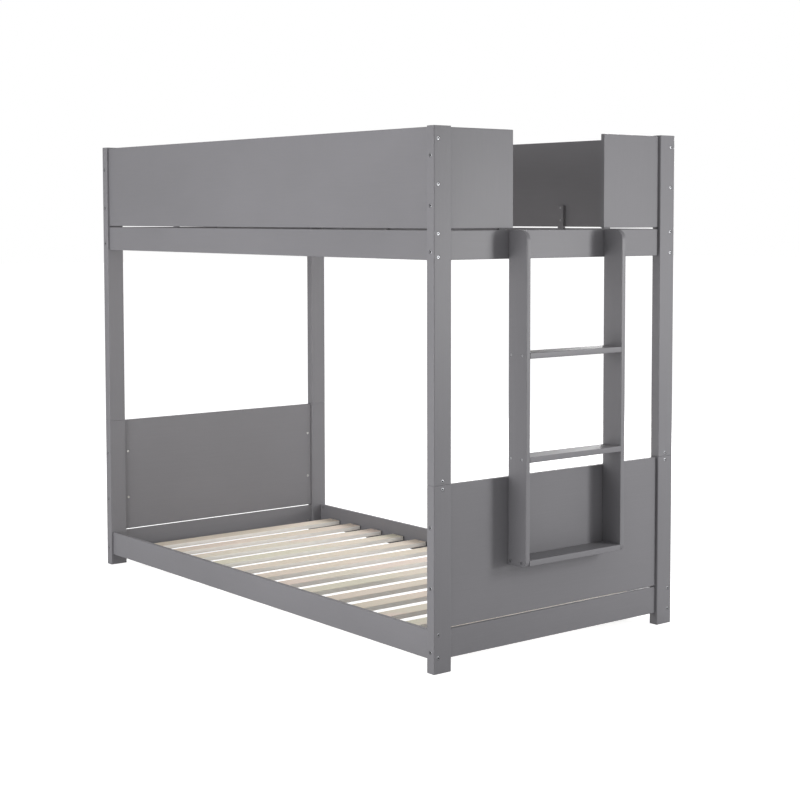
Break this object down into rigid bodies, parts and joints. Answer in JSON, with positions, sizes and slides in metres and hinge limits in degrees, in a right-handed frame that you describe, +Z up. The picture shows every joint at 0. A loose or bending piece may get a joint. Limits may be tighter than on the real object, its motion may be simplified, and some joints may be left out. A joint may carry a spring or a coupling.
{
  "type": "bunk bed",
  "caption": "Twin-over-twin bunk bed of painted flat boards, with slatted decks, solid guards and a fixed ladder at its foot end.",
  "frame": {"origin": "on the floor, under the middle of the bounding box, ladder included", "axes": "+X runs along the bed from the head end to the foot end, where the ladder is; +Y across the bed; +Z up"},
  "size_m": [2.1376, 1.035, 1.6446],
  "materials": {
    "paint": "satin grey paint on wood",
    "pine": "bare sawn pine"
  },
  "bodies": {
    "root": {"lower_post_head_front": "paint", "upper_post_head_front": "paint", "lower_post_head_back": "paint", "upper_post_head_back": "paint", "lower_post_foot_front": "paint", "upper_post_foot_front": "paint", "lower_post_foot_back": "paint", "upper_post_foot_back": "paint", "lower_rail_front": "paint", "upper_rail_front": "paint", "guard_front": "paint", "guard_foot_front": "paint", "lower_rail_back": "paint", "upper_rail_back": "paint", "guard_back": "paint", "guard_foot_back": "paint", "lower_rail_head": "paint", "upper_rail_head": "paint", "panel_head": "paint", "lower_rail_foot": "paint", "upper_rail_foot": "paint", "panel_foot": "paint", "guard_head": "paint", "lower_ledger_front": "paint", "lower_ledger_back": "paint", "upper_ledger_front": "paint", "upper_ledger_back": "paint", "ladder_stringer_front": "paint", "ladder_stringer_back": "paint", "ladder_shelf": "paint", "ladder_rung_lower": "paint", "ladder_rung_upper": "paint", "lower_slat_01": "pine", "lower_slat_02": "pine", "lower_slat_03": "pine", "lower_slat_04": "pine", "lower_slat_05": "pine", "lower_slat_06": "pine", "lower_slat_07": "pine", "lower_slat_08": "pine", "lower_slat_09": "pine", "lower_slat_10": "pine", "lower_slat_11": "pine", "lower_slat_12": "pine", "lower_slat_13": "pine", "upper_slat_01": "pine", "upper_slat_02": "pine", "upper_slat_03": "pine", "upper_slat_04": "pine", "upper_slat_05": "pine", "upper_slat_06": "pine", "upper_slat_07": "pine", "upper_slat_08": "pine", "upper_slat_09": "pine", "upper_slat_10": "pine", "upper_slat_11": "pine", "upper_slat_12": "pine", "upper_slat_13": "pine"}
  },
  "joints": []
}
